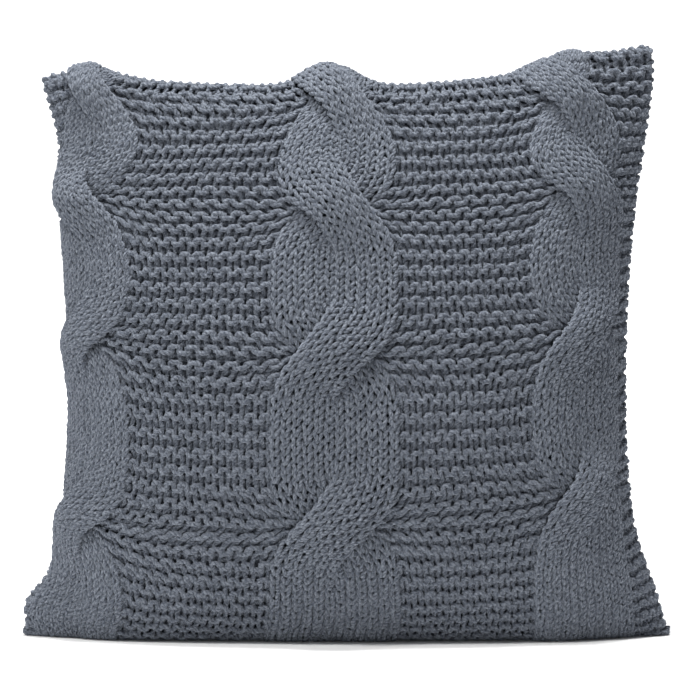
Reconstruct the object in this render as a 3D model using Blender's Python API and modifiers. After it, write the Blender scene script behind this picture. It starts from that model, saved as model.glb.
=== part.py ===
"""Cable-knit throw pillow with a zipped knitted cover and a separate fibre-filled insert.

Metres, +Z up. The pillow stands on its flattened bottom edge and its front faces -Y.
The origin is the centre of its footprint, on the surface it stands on.

Every soft layer is a slab between two depths, measured from the seam plane y = 0, over a
patch that runs from -1 to 1 across (s) and from -1 at the foot to 1 at the top (t). The
layers read the same depth functions, so they stay nested when a size changes.
"""
import math

import bmesh
import bpy
import numpy as np
from mathutils import Vector

# Cover, outside
BASE_SPAN = 0.460           # between the two bottom corners
WAIST_SPAN = 0.394          # halfway up, where the filling pulls the sides in
TOP_SPAN = 0.434            # between the two top corners
HEIGHT = 0.390              # foot to the top seam between the corners
LEFT_CORNER_RISE = 0.012    # top corners above the top seam
RIGHT_CORNER_RISE = 0.022
THICKNESS = 0.160           # front to back at the fullest point
EDGE_THICKNESS = 0.013      # front to back at the seamed edge
FOOT_DEPTH = 0.050          # front to back of the face it stands on
FOOT_FULL = 0.62            # that face keeps its depth to this share of the half width
FOOT_GONE = 0.97            # and has thinned to a plain edge here
CABLE_X = (-0.172, -0.012, 0.152)       # where the three cables meet the top seam
CABLE_RISE = (0.005, 0.014, 0.008)      # how far each one lifts the top seam
CABLE_RISE_WIDTH = 0.024

# Cover, construction
KNIT = 0.006                # thickness of a knitted panel
SEAM_YARN_RADIUS = 0.0012
SEAM_INSET = 0.0035         # seam yarn's centre line inside the outline
FIT = 0.0003                # clearance between touching pieces

# Zip in the back panel: its own frame has X along the zip, Y outwards, Z up the panel
ZIP_LENGTH = 0.280          # between the stops
ZIP_HEIGHT = 0.060          # centre line above the foot
ZIP_DEPTH = 0.062           # knitted surface behind the seam plane, at the centre line
ZIP_TILT = math.radians(14)
SLOT_HALF = 0.0052          # half of the gap between the knitted edges
SLOT_TAPER = 0.007          # length of the pointed end of that gap
BAND_HALF = 0.016           # half height of the flat band that carries the tapes
BAND_MARGIN = 0.006         # flat band beyond each end of the tapes
BAND_FADE = 0.054           # above and below the centre line, the back is round again
BAND_FADE_SHARE = 0.85      # of the way from the band's end to the side, likewise
TAPE_THICKNESS = 0.0008
TAPE_WIDTH = 0.0125
TAPE_OVERHANG = 0.006       # tape beyond each stop
TOOTH_PITCH = 0.004
TOOTH_WIDTH = 0.0014
UPPER_TOOTH_START = 0.35    # first tooth from the end, in pitches: the rows are half a pitch apart
LOWER_TOOTH_START = 0.85
TOOTH_REACH = 0.0009        # how far a tooth passes the centre line
TOOTH_HEIGHT = 0.0020
CHAIN_HALF = 0.0027         # half width of the closed row of teeth
STOP_LENGTH = 0.0024
SLIDER_LENGTH = 0.0120
SLIDER_HALF = 0.0045        # half width
SLIDER_WALL = 0.0010
SLIDER_PLATE = 0.0012
LUG_INNER = 0.0016          # inner face of each lug, from the middle
LUG_THICKNESS = 0.0011
LUG_HALF_LENGTH = 0.0019
PIN_RADIUS = 0.0006
PIN_CLEARANCE = 0.0003
TAB_THICKNESS = 0.0012
TAB_LENGTH = 0.022          # pivot to tip
TAB_HALF = 0.0032           # half width
TAB_SHOULDER = 0.0012       # length over which the tab widens past the lugs
TAB_HOLE_RADIUS = 0.0015

# Insert
INSERT_INSET = 0.012        # insert's edge inside the cover's, halfway along each side
INSERT_EDGE = 0.008         # thickness of its edge
INSERT_FOOT_SHARE = 0.6     # how much of the cover's wide foot it has
INSERT_CLEARANCE = 0.0009   # between the cover's inside and the insert
TICKING = 0.0010            # thickness of the insert's casing
CASE_SLANT = 1.3            # front to back through the casing, for one thickness, on its slopes
INSERT_THREAD_RADIUS = 0.0006
FILL_CLEARANCE = 0.0008

# Shape exponents
FULLNESS = 2.2              # 2 gives an elliptical section, more is boxier
SETTLE = 0.2                # how far the filling has sunk, as a share of half the height
TOP_FLARE = 1.8
BASE_FLARE = 3.0
CORNER_FLAT = 0.45          # how much the corners thin out into flat ears
INSERT_CORNER_ROUND = 0.05

PAST = 0.001                # how far a cutter runs past the surface it cuts
WELD = 0.00001              # points nearer than this are one
LUG_SUNK = 0.0004           # lugs start this far down inside the slider's plate
TIP_POINTS = 9              # points around the tab's round tip
COLLECTION = "throw_pillow"


def smooth(value, start, end):
    """0 before start, 1 after end, and a smooth step between."""
    ratio = min(max((value - start) / (end - start), 0.0), 1.0)
    return ratio * ratio * (3 - 2 * ratio)


# Outline and depth of the cover

def half_width(t):
    """Half of the cover's width at height t."""
    corner, flare = (TOP_SPAN, TOP_FLARE) if t > 0 else (BASE_SPAN, BASE_FLARE)
    return (WAIST_SPAN + (corner - WAIST_SPAN) * abs(t) ** flare) / 2


def height_of(t):
    return HEIGHT * (t + 1) / 2


def t_at(height):
    return 2 * height / HEIGHT - 1


def place(s, t):
    """Where a point of the patch lies in the seam plane, as x and z."""
    x = s * half_width(t)
    corner = LEFT_CORNER_RISE if s < 0 else RIGHT_CORNER_RISE
    rise = corner * abs(s) ** 3
    for cable_x, cable_rise in zip(CABLE_X, CABLE_RISE):
        rise += cable_rise * math.exp(-((x - cable_x) / CABLE_RISE_WIDTH) ** 2)
    return x, height_of(t) + rise * ((t + 1) / 2) ** 5


def swell(s, t):
    """1 at the middle and 0 at the edges, with the corners thinned into ears."""
    settled = t + SETTLE * (1 - t * t)
    across = max(0.0, 1 - abs(s) ** FULLNESS) ** 0.5
    up = max(0.0, 1 - abs(settled) ** FULLNESS) ** 0.5
    return across * up * (1 - CORNER_FLAT * (s * t) ** 4)


def edge_half(s, t):
    """Half thickness of the edge, wider at the foot."""
    foot = 1 - smooth(abs(s), FOOT_FULL, FOOT_GONE)
    return (EDGE_THICKNESS + (FOOT_DEPTH - EDGE_THICKNESS) * foot * ((1 - t) / 2) ** 4) / 2


def front_depth(s, t):
    edge = edge_half(s, t)
    return edge + (THICKNESS / 2 - edge) * swell(s, t)


def back_depth(s, t):
    """As the front, but drawn into a flat band where the zip is."""
    natural = front_depth(s, t)
    x, z = place(s, t)
    flat_end = ZIP_LENGTH / 2 + TAPE_OVERHANG + BAND_MARGIN
    side_room = half_width(t_at(ZIP_HEIGHT)) - flat_end
    across = 1 - smooth(abs(x), flat_end, flat_end + BAND_FADE_SHARE * side_room)
    up = 1 - smooth(abs(z - ZIP_HEIGHT), BAND_HALF, BAND_FADE)
    band = ZIP_DEPTH + (z - ZIP_HEIGHT) * math.tan(ZIP_TILT)
    return natural + (band - natural) * across * up


def slant(depth, s, t, step=0.002):
    """Length of the surface's normal for one unit of depth."""
    s = min(max(s, -1 + step), 1 - step)
    t = min(max(t, -1 + step), 1 - step)
    xs, zs = np.subtract(place(s + step, t), place(s - step, t))
    xt, zt = np.subtract(place(s, t + step), place(s, t - step))
    ds = depth(s + step, t) - depth(s - step, t)
    dt = depth(s, t + step) - depth(s, t - step)
    dx, dz = np.linalg.solve([[xs, zs], [xt, zt]], [ds, dt])
    return math.sqrt(1 + dx * dx + dz * dz)


SEAM_FLOOR = SEAM_YARN_RADIUS + FIT
SEAM_SHARE = 0.992          # beyond this share of the patch, front and back lie together


def lining(depth, s, t):
    """Inside of the cover, one panel thickness in, and shut along the edges."""
    if height_of(t) < KNIT or max(abs(s), t) > SEAM_SHARE:
        return SEAM_FLOOR
    return max(SEAM_FLOOR, depth(s, t) - KNIT * slant(depth, s, t))


# Outline and depth of the insert

INSERT_SCALE = 1 - 2 * INSERT_INSET / WAIST_SPAN
INSERT_SEAM_SHARE = 0.985   # beyond this share of the insert's patch, its two sheets lie together
THREAD_FLOOR = INSERT_THREAD_RADIUS + FIT
THREAD_SCALE = 0.991        # the thread's line, as a share of the insert's patch


def insert_patch(s, t):
    """The insert's patch point, inside the cover's patch and round at its corners."""
    scale = INSERT_SCALE * (1 - INSERT_CORNER_ROUND * (s * t) ** 4)
    return s * scale, t * scale


def insert_depth(depth, s, t):
    fullest = THICKNESS / 2 - KNIT - INSERT_CLEARANCE
    edge = INSERT_EDGE / 2 + (edge_half(s, t) - EDGE_THICKNESS / 2) * INSERT_FOOT_SHARE
    natural = edge + (fullest - edge) * swell(s, t)
    inner_s, inner_t = insert_patch(s, t)
    room = lining(depth, inner_s, inner_t) - INSERT_CLEARANCE
    _, z = place(inner_s, inner_t)
    if depth is back_depth:
        near_zip = 1 - smooth(abs(z - ZIP_HEIGHT), BAND_HALF, BAND_FADE)
        room -= (TAPE_THICKNESS + 4 * FIT) * near_zip
    return max(THREAD_FLOOR + FIT, min(natural, room))


def ticking_inside(depth, s, t):
    if max(abs(s), abs(t)) > INSERT_SEAM_SHARE:
        return THREAD_FLOOR
    return max(THREAD_FLOOR, insert_depth(depth, s, t) - TICKING * CASE_SLANT)


# Making objects

def reset_scene():
    for item in list(bpy.data.objects):
        bpy.data.objects.remove(item, do_unlink=True)


def make_collection(name):
    made = bpy.data.collections.new(name)
    bpy.context.scene.collection.children.link(made)
    return made


def material(name, colour, roughness, metallic=0.0):
    made = bpy.data.materials.new(name)
    made.use_nodes = True
    shader = made.node_tree.nodes["Principled BSDF"]
    shader.inputs["Base Color"].default_value = (*colour, 1.0)
    shader.inputs["Roughness"].default_value = roughness
    shader.inputs["Metallic"].default_value = metallic
    return made


def add(name, data, finish, parent=None, location=(0, 0, 0), rotation=(0, 0, 0)):
    item = bpy.data.objects.new(name, data)
    data.materials.append(finish)
    parts.objects.link(item)
    item.parent = parent
    item.location = location
    item.rotation_euler = rotation
    return item


def mesh_from(bm, name):
    bmesh.ops.recalc_face_normals(bm, faces=bm.faces)
    mesh = bpy.data.meshes.new(name)
    bm.to_mesh(mesh)
    bm.free()
    return mesh


def slab(name, columns, rows, outer, inner, patch, side, finish):
    """A grid mapped on the patch, extruded from its outer depth to its inner one."""
    bm = bmesh.new()
    bmesh.ops.create_grid(bm, x_segments=len(columns) - 1, y_segments=len(rows) - 1, size=1)
    for face in bm.faces:
        face.smooth = True
    grown = bmesh.ops.extrude_face_region(bm, geom=bm.faces[:])["geom"]
    inner_verts = {item for item in grown if isinstance(item, bmesh.types.BMVert)}
    for vert in bm.verts:
        i = round((vert.co.x + 1) / 2 * (len(columns) - 1))
        j = round((vert.co.y + 1) / 2 * (len(rows) - 1))
        s = columns[i]
        t = rows[j](s, vert in inner_verts) if callable(rows[j]) else rows[j]
        depth = inner(s, t) if vert in inner_verts else outer(s, t)
        x, z = place(*patch(s, t))
        vert.co = (x, side * depth, z)
    bmesh.ops.triangulate(bm, faces=bm.faces, quad_method="FIXED")
    return add(name, mesh_from(bm, name), finish)


def box(name, low, high, finish, parent=None, location=(0, 0, 0), bevel=0.0):
    """A block between two corners, given in the parent's frame from the object's origin."""
    low, high = Vector(low), Vector(high)
    bm = bmesh.new()
    bmesh.ops.create_cube(bm, size=1)
    bmesh.ops.scale(bm, verts=bm.verts, vec=high - low)
    bmesh.ops.translate(bm, verts=bm.verts, vec=(low + high) / 2)
    item = add(name, mesh_from(bm, name), finish, parent, location)
    if bevel:
        rounding = item.modifiers.new("rounded_edges", "BEVEL")
        rounding.width = bevel
        rounding.segments = 2
    return item


def plate(name, outline, thickness, finish, parent, location):
    """A flat outline in X and Z of the parent's frame, as thick as given along Y."""
    curve = bpy.data.curves.new(name, "CURVE")
    curve.dimensions = "2D"
    curve.fill_mode = "BOTH"
    curve.extrude = thickness / 2
    spline = curve.splines.new("POLY")
    spline.points.add(len(outline) - 1)
    for point, (x, z) in zip(spline.points, outline):
        point.co = (x, z, 0, 1)
    spline.use_cyclic_u = True
    return add(name, curve, finish, parent, location, (math.pi / 2, 0, 0))


def closed_tube(name, path, radius, finish):
    """A yarn or thread along a closed path of points."""
    curve = bpy.data.curves.new(name, "CURVE")
    curve.dimensions = "3D"
    curve.bevel_depth = radius
    curve.bevel_resolution = 1
    spline = curve.splines.new("POLY")
    spline.points.add(len(path) - 1)
    for point, place_of_point in zip(spline.points, path):
        point.co = (*place_of_point, 1)
    spline.use_cyclic_u = True
    return add(name, curve, finish)


def cylinder_along_z(name, radius, length, sides, finish, parent, location):
    bm = bmesh.new()
    bmesh.ops.create_cone(bm, cap_ends=True, segments=sides, radius1=radius, radius2=radius, depth=length)
    return add(name, mesh_from(bm, name), finish, parent, location)


def use_as_tool(target, tool, operation):
    """Cut with, or join, a hidden helper object."""
    parts.objects.unlink(tool)
    cutters.objects.link(tool)
    tool.hide_render = True
    tool.display_type = "WIRE"
    step = target.modifiers.new(tool.name, "BOOLEAN")
    step.operation = operation
    step.object = tool
    step.solver = "EXACT"


# Grids

def sine_steps(start, end, count):
    """Patch values that crowd towards -1 and 1, where the surface turns most."""
    return [math.sin(angle) for angle in np.linspace(math.asin(start), math.asin(end), count + 1)]


def grid_columns():
    """Columns that meet the ends of the zip's slot, the same on both sides."""
    width = half_width(t_at(ZIP_HEIGHT))
    slot_end = (ZIP_LENGTH / 2 + STOP_LENGTH + 2 * FIT) / width
    point_end = slot_end + SLOT_TAPER / width
    right = list(np.linspace(0, slot_end, 6)) + sine_steps(point_end, 1.0, 5)
    return [-value for value in reversed(right[1:])] + right


def grid_rows():
    """Rows up to the band that carries the zip, and rows above it."""
    below = sine_steps(-1.0, t_at(ZIP_HEIGHT - BAND_HALF), 5)
    above = sine_steps(t_at(ZIP_HEIGHT + BAND_HALF), 1.0, 9)
    return below, above


def insert_grid(values):
    """The same lines as the cover's, as far as the insert reaches, so that the two stay nested."""
    inside = [value / INSERT_SCALE for value in values]
    return [-1.0] + [value for value in inside if abs(value) < INSERT_SEAM_SHARE] + [1.0]


def slot_edge(sign):
    """The knitted edge above (+1) or below (-1) the zip, square to the tilted band."""
    def row(s, inside):
        x = abs(s) * half_width(t_at(ZIP_HEIGHT))
        start = ZIP_LENGTH / 2 + STOP_LENGTH + 2 * FIT
        opening = 1 - min(max((x - start) / SLOT_TAPER, 0.0), 1.0)
        half = FIT / 2 + (SLOT_HALF - FIT / 2) * opening
        lean = KNIT * math.sin(ZIP_TILT) * opening if inside else 0.0
        return t_at(ZIP_HEIGHT + sign * half * math.cos(ZIP_TILT) + lean)
    return row


def outline_loop(scale, patch, count):
    """Points once around the patch's edge, in the seam plane."""
    steps = sine_steps(-1.0, 1.0, count)[:-1]
    square = [(value, -1.0) for value in steps] + [(1.0, value) for value in steps]
    square += [(-value, 1.0) for value in steps] + [(-1.0, -value) for value in steps]
    loop = []
    for s, t in square:
        x, z = place(*patch(s * scale, t * scale))
        loop.append((x, 0.0, z))
    return loop


# Pieces

def same(s, t):
    return s, t


def make_cover(knit, yarn):
    columns = grid_columns()
    below, above = grid_rows()
    slab("cover_front", columns, below + above, front_depth, lambda s, t: lining(front_depth, s, t),
         same, -1, knit)
    lower, upper = below + [slot_edge(-1)], [slot_edge(1)] + above
    for name, rows in (("cover_back_lower", lower), ("cover_back_upper", upper)):
        slab(name, columns, rows, back_depth, lambda s, t: lining(back_depth, s, t), same, 1, knit)

    scale = 1 - 2 * SEAM_INSET / WAIST_SPAN
    closed_tube("cover_seam_yarn", outline_loop(scale, same, 16), SEAM_YARN_RADIUS, yarn)


def make_insert(ticking, thread, fibre):
    columns = insert_grid(grid_columns())
    below, above = grid_rows()
    rows = insert_grid(below + above)
    for name, depth, side in (("insert_case_front", front_depth, -1), ("insert_case_back", back_depth, 1)):
        slab(name, columns, rows, lambda s, t: insert_depth(depth, s, t),
             lambda s, t: ticking_inside(depth, s, t), insert_patch, side, ticking)
    path = outline_loop(THREAD_SCALE, insert_patch, 14)
    closed_tube("insert_seam_thread", path, INSERT_THREAD_RADIUS, thread)

    def fill_depth(depth, s, t):
        return max(FIT, ticking_inside(depth, s, t) - FILL_CLEARANCE)

    slab("insert_fill", columns[1:-1], rows[1:-1], lambda s, t: fill_depth(front_depth, s, t),
         lambda s, t: -fill_depth(back_depth, s, t), insert_patch, -1, fibre)


def tooth_outline(side):
    """A toothed strip: its back edge, then its teeth, which reach past the centre line."""
    start, end = -ZIP_LENGTH / 2, ZIP_LENGTH / 2
    root = TOOTH_REACH + FIT
    outline = [(end, side * CHAIN_HALF), (start, side * CHAIN_HALF), (start, side * root)]
    first = start + TOOTH_PITCH * (UPPER_TOOTH_START if side > 0 else LOWER_TOOTH_START)
    count = int((end - first - TOOTH_WIDTH / 2) / TOOTH_PITCH) + 1
    for index in range(count):
        middle = first + index * TOOTH_PITCH
        left, right = middle - TOOTH_WIDTH / 2, middle + TOOTH_WIDTH / 2
        outline += [(left, side * root), (left, -side * TOOTH_REACH)]
        outline += [(right, -side * TOOTH_REACH), (right, side * root)]
    outline.append((end, side * root))
    return outline


def make_zip(tape, nylon, metal):
    """Everything of the zip that is sewn to the back panel. Returns its frame."""
    frame = bpy.data.objects.new("zip_frame", None)
    parts.objects.link(frame)
    frame.location = (0, ZIP_DEPTH, ZIP_HEIGHT)
    frame.rotation_euler = (-ZIP_TILT, 0, 0)

    tape_top = -KNIT - FIT
    tape_end = ZIP_LENGTH / 2 + TAPE_OVERHANG
    teeth_low = tape_top + FIT
    teeth_middle = teeth_low + TOOTH_HEIGHT / 2
    stop_start = ZIP_LENGTH / 2 + FIT
    for name, side in (("upper", 1), ("lower", -1)):
        edges = sorted((side * FIT / 2, side * TAPE_WIDTH))
        box(f"zip_tape_{name}", (-tape_end, tape_top - TAPE_THICKNESS, edges[0]),
            (tape_end, tape_top, edges[1]), tape, frame)
        plate(f"zip_teeth_{name}", tooth_outline(side), TOOTH_HEIGHT, nylon, frame, (0, teeth_middle, 0))
        edges = sorted((side * FIT / 2, side * CHAIN_HALF))
        box(f"zip_top_stop_{name}", (-stop_start - STOP_LENGTH, teeth_low, edges[0]),
            (-stop_start, teeth_low + TOOTH_HEIGHT, edges[1]), metal, frame, bevel=0.0003)
    box("zip_bottom_stop", (stop_start, teeth_low, -CHAIN_HALF),
        (stop_start + STOP_LENGTH, teeth_low + TOOTH_HEIGHT, CHAIN_HALF), metal, frame, bevel=0.0004)
    return frame


def make_slider(frame, metal):
    """The slider at its closed end, its origin on the pull tab's pivot."""
    teeth_top = -KNIT + TOOTH_HEIGHT
    plate_low = teeth_top + FIT
    plate_high = plate_low + SLIDER_PLATE
    pivot = FIT + TAB_THICKNESS
    start = -ZIP_LENGTH / 2 + SLIDER_LENGTH / 2 + FIT
    half = SLIDER_LENGTH / 2
    origin = (start, pivot, 0)
    low, high = -KNIT - pivot, plate_high - pivot
    slider = box("zip_slider", (-half, low, -SLIDER_HALF), (half, high, SLIDER_HALF), metal, frame,
                 origin, bevel=0.0005)
    inner = SLIDER_HALF - SLIDER_WALL
    channel = box("slider_channel", (-half - PAST, low - PAST, -inner),
                  (half + PAST, plate_low - pivot, inner), metal, frame, origin)
    use_as_tool(slider, channel, "DIFFERENCE")
    lug_top = TAB_THICKNESS / 2 + PIN_RADIUS + PIN_CLEARANCE
    for side in (-1, 1):
        edges = sorted((side * LUG_INNER, side * (LUG_INNER + LUG_THICKNESS)))
        lug = box(f"slider_lug_{side}", (-LUG_HALF_LENGTH, high - LUG_SUNK, edges[0]),
                  (LUG_HALF_LENGTH, lug_top, edges[1]), metal, frame, origin, bevel=0.0003)
        use_as_tool(slider, lug, "UNION")
    length = 2 * SLIDER_HALF
    bore = cylinder_along_z("slider_pin_bore", PIN_RADIUS + PIN_CLEARANCE, length, 16, metal, frame, origin)
    use_as_tool(slider, bore, "DIFFERENCE")
    return slider


def tab_outline():
    """Narrow between the slider's lugs, then full width, with a round tip."""
    neck = LUG_INNER - FIT
    shoulder = LUG_HALF_LENGTH + 2 * FIT
    outline = [(shoulder, -neck), (shoulder + TAB_SHOULDER, -TAB_HALF)]
    centre = TAB_LENGTH - TAB_HALF
    for angle in np.linspace(-math.pi / 2, math.pi / 2, TIP_POINTS):
        outline.append((centre + TAB_HALF * math.cos(angle), TAB_HALF * math.sin(angle)))
    outline += [(shoulder + TAB_SHOULDER, TAB_HALF), (shoulder, neck), (-TAB_THICKNESS / 2, neck)]
    outline.append((-TAB_THICKNESS / 2, -neck))
    return outline


def make_pull_tab(slider, metal):
    """The tab lies along the zip, hinged on a pin between the lugs."""
    flat = plate("pull_tab_outline", tab_outline(), TAB_THICKNESS, metal, None, (0, 0, 0))
    mesh = bpy.data.meshes.new_from_object(flat.evaluated_get(bpy.context.evaluated_depsgraph_get()))
    mesh.transform(flat.rotation_euler.to_matrix().to_4x4())
    bpy.data.objects.remove(flat)
    bm = bmesh.new()
    bm.from_mesh(mesh)
    bmesh.ops.remove_doubles(bm, verts=bm.verts, dist=WELD)
    bpy.data.meshes.remove(mesh)
    tab = add("zip_pull_tab", mesh_from(bm, "zip_pull_tab"), metal, slider)
    pin_length = 2 * (LUG_INNER + LUG_THICKNESS)
    pin = cylinder_along_z("tab_pin", PIN_RADIUS, pin_length, 12, metal, slider, (0, 0, 0))
    use_as_tool(tab, pin, "UNION")
    centre = (TAB_LENGTH - TAB_HALF, 0, 0)
    length = TAB_THICKNESS + 2 * PAST
    hole = cylinder_along_z("tab_hole", TAB_HOLE_RADIUS, length, 16, metal, slider, centre)
    hole.rotation_euler = (math.pi / 2, 0, 0)
    use_as_tool(tab, hole, "DIFFERENCE")


reset_scene()
parts = make_collection(COLLECTION)
cutters = make_collection("cutters")

knit_yarn = material("knit_yarn", (0.095, 0.115, 0.148), 0.92)
seam_yarn = material("seam_yarn", (0.085, 0.103, 0.135), 0.92)
zip_tape = material("zip_tape", (0.060, 0.072, 0.095), 0.85)
zip_nylon = material("zip_nylon", (0.050, 0.060, 0.080), 0.45)
zip_metal = material("zip_metal", (0.30, 0.31, 0.33), 0.35, 1.0)
casing = material("casing", (0.78, 0.77, 0.74), 0.85)
thread = material("thread", (0.80, 0.80, 0.78), 0.70)
fibre_fill = material("fibre_fill", (0.88, 0.88, 0.87), 0.95)

make_cover(knit_yarn, seam_yarn)
make_insert(casing, thread, fibre_fill)
zip_frame = make_zip(zip_tape, zip_nylon, zip_metal)
zip_slider = make_slider(zip_frame, zip_metal)
make_pull_tab(zip_slider, zip_metal)
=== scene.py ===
# %% [markdown]
# # A cable-knit throw pillow
#
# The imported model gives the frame: where every panel, the zip and the insert are, in metres.
# The real pillow's looks come from its knitting, so this lesson knits the cover: each row of
# loops is a real strand of yarn laid over the pillow's shape. A flat texture would be quicker,
# but it couldn't give the bumpy outline, the dark holes or the cables that stand proud.

# %% Load the frame
import math

import bpy
import numpy as np
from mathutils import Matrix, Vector
from mathutils.bvhtree import BVHTree


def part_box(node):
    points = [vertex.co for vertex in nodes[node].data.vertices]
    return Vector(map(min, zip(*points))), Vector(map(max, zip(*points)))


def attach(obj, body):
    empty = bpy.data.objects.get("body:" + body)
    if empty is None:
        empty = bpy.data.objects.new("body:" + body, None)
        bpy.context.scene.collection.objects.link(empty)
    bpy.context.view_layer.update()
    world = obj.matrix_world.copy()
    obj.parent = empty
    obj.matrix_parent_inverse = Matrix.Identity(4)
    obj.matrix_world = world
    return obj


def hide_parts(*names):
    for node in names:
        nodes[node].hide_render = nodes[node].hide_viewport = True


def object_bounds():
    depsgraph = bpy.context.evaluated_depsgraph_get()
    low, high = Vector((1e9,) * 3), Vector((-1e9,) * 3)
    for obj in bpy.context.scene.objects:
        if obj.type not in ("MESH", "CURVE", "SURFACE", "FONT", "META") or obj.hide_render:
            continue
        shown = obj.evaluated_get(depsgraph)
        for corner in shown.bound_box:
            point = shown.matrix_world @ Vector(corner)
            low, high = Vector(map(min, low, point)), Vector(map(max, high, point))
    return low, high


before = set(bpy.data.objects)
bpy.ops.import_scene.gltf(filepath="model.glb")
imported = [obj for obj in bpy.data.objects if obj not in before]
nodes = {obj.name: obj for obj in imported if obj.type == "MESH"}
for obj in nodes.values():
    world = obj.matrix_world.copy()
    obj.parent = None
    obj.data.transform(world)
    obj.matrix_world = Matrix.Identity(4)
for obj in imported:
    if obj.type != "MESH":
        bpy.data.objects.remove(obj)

cad_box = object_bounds()
print("nodes in the frame:", len(nodes))

# %% [markdown]
# ## Camera
#
# The pillow is looked at straight on from a little above. A short lens close by would take in
# the same view, but it would stretch the outline, so a long lens looks from further off.

# %% Camera
CAMERA_DISTANCE = 2.4
CAMERA_HEIGHT = math.radians(3.5)
VIEW_WIDTH = 0.4953             # of the picture, measured at the pillow
AIM = Vector((0.0021, 0.0, 0.2030))

eye_offset = Vector((0, -math.cos(CAMERA_HEIGHT), math.sin(CAMERA_HEIGHT))) * CAMERA_DISTANCE
camera_data = bpy.data.cameras.new("camera")
camera_data.lens = camera_data.sensor_width * CAMERA_DISTANCE / VIEW_WIDTH
camera = bpy.data.objects.new("camera", camera_data)
bpy.context.scene.collection.objects.link(camera)
camera.location = AIM + eye_offset
camera.rotation_euler = (-eye_offset).to_track_quat("-Z", "Y").to_euler()
bpy.context.scene.camera = camera
bpy.context.scene.view_settings.view_transform = "Standard"
print("lens of", round(camera_data.lens), "mm")

# %% [markdown]
# ## Light
#
# In a studio a knitted thing is lit by large soft lamps, mostly from above, so that each ridge
# shades the valley under it. Small lamps would cut hard shadows into every loop, and light from
# all round would flatten them. Here each lamp is a disk, and the left side gets more than the
# right.

# %% Lights
def soft_light(name, place, target, size, power, tint=(1, 1, 1)):
    light = bpy.data.lights.new(name, "AREA")
    light.shape = "DISK"
    light.size = size
    light.energy = power
    light.color = tint
    lamp = bpy.data.objects.new(name, light)
    bpy.context.scene.collection.objects.link(lamp)
    lamp.location = place
    aim = Vector(target) - Vector(place)
    lamp.rotation_euler = aim.to_track_quat("-Z", "Y").to_euler()


soft_light("key_light", (-0.8, -1.0, 2.2), (0, 0, 0.2), 0.45, 46, (1.0, 0.99, 0.97))
soft_light("left_fill", (-2.2, -0.9, 0.6), (0, 0, 0.2), 1.2, 16, (0.96, 0.98, 1.0))
soft_light("right_fill", (2.0, -1.6, 0.9), (0, 0, 0.2), 1.6, 2, (0.95, 0.97, 1.0))
soft_light("top_light", (0.0, -0.16, 2.3), (0, 0, 0.3), 0.6, 80)
soft_light("low_fill", (0.7, -1.9, 0.22), (0.1, 0, 0.05), 0.6, 3)
soft_light("rear_light", (0.6, 2.0, 1.6), (0, 0, 0.2), 1.4, 16)
soft_light("backdrop_light", (0, 2.2, 2.4), (0, 6, 0.8), 2.5, 260)

world = bpy.data.worlds.new("studio")
world.use_nodes = True
surroundings = world.node_tree.nodes["Background"].inputs
surroundings["Color"].default_value = (0.93, 0.95, 1.0, 1)
surroundings["Strength"].default_value = 0.14
bpy.context.scene.world = world
print("lamps:", len(bpy.data.lights))

# %% [markdown]
# ## Floor
#
# In a studio, pale paper is rolled out under the thing and up behind it. The same sheet is one
# mesh here, flat and then bent upwards. A plain plane would end in a horizon behind the pillow.

# %% Floor and backdrop
FLOOR_HALF = 6.0
BACKDROP_BEND = 1.2
BACKDROP_HEIGHT = 5.0
BEND_STEPS = 13

bend = [(FLOOR_HALF - BACKDROP_BEND + BACKDROP_BEND * math.sin(angle),
         BACKDROP_BEND - BACKDROP_BEND * math.cos(angle))
        for angle in np.linspace(0, math.pi / 2, BEND_STEPS)]
profile = [(-FLOOR_HALF, 0.0)] + bend + [(FLOOR_HALF, BACKDROP_HEIGHT)]
verts = [(x, y, z) for y, z in profile for x in (-FLOOR_HALF, FLOOR_HALF)]
faces = [(2 * i, 2 * i + 1, 2 * i + 3, 2 * i + 2) for i in range(len(profile) - 1)]
floor_mesh = bpy.data.meshes.new("floor")
floor_mesh.from_pydata(verts, [], faces)
floor_mesh.shade_smooth()
floor = bpy.data.objects.new("floor", floor_mesh)
bpy.context.scene.collection.objects.link(floor)
floor_paint = bpy.data.materials.new("pale_floor")
floor_paint.use_nodes = True
paint = floor_paint.node_tree.nodes["Principled BSDF"].inputs
paint["Base Color"].default_value = (0.86, 0.86, 0.86, 1)
paint["Roughness"].default_value = 0.8
floor_mesh.materials.append(floor_paint)
print("floor and backdrop have", len(faces), "faces")

# %% [markdown]
# ## The pillow's shape
#
# A stuffed square bulges in the middle and draws its sides in, and its four corners stay out
# as flat ears. It could be blown up by a cloth simulation, but then its size would be left to
# chance. So the same few numbers as in the part's source describe it: a patch that runs from
# -1 to 1 across (s) and upwards (t), with a width, a height and a depth at each point.

# %% Sizes
BASE_SPAN = cad_box[1].x - cad_box[0].x
THICKNESS = cad_box[1].y - cad_box[0].y
LEFT_CORNER_RISE = 0.012
RIGHT_CORNER_RISE = 0.022
HEIGHT = cad_box[1].z - RIGHT_CORNER_RISE
EAR_RISE = (0.001, 0.014)       # the soft ears stand a little higher than the solid's corners
EAR_ROUND = 1.7
TIP_ROUND = 0.008               # how far the blunt tips of the upper ears are drawn in
LOWER_TIP_SHARE = 0.1           # of that, at the lower ears
TIP_POWER = 14
EAR_BULGES = {-1: ((-0.88, 0.07, 0.010), (0.77, 0.12, -0.0055), (1.0, 0.07, 0.004)),
              1: ((-0.82, 0.13, 0.0035), (0.92, 0.25, 0.004))}
WAIST_SPAN = 0.394
TOP_SPAN = 0.434
SEAM_HALF = 0.0045              # half thickness at the seamed edge
FOOT_DEPTH = 0.050
FOOT_FULL, FOOT_GONE = 0.62, 0.97
CABLE_X = (-0.172, -0.012, 0.152)
CABLE_RISE = (0.005, 0.014, 0.008)
CABLE_RISE_WIDTH = 0.024
FULLNESS = 2.2
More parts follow.
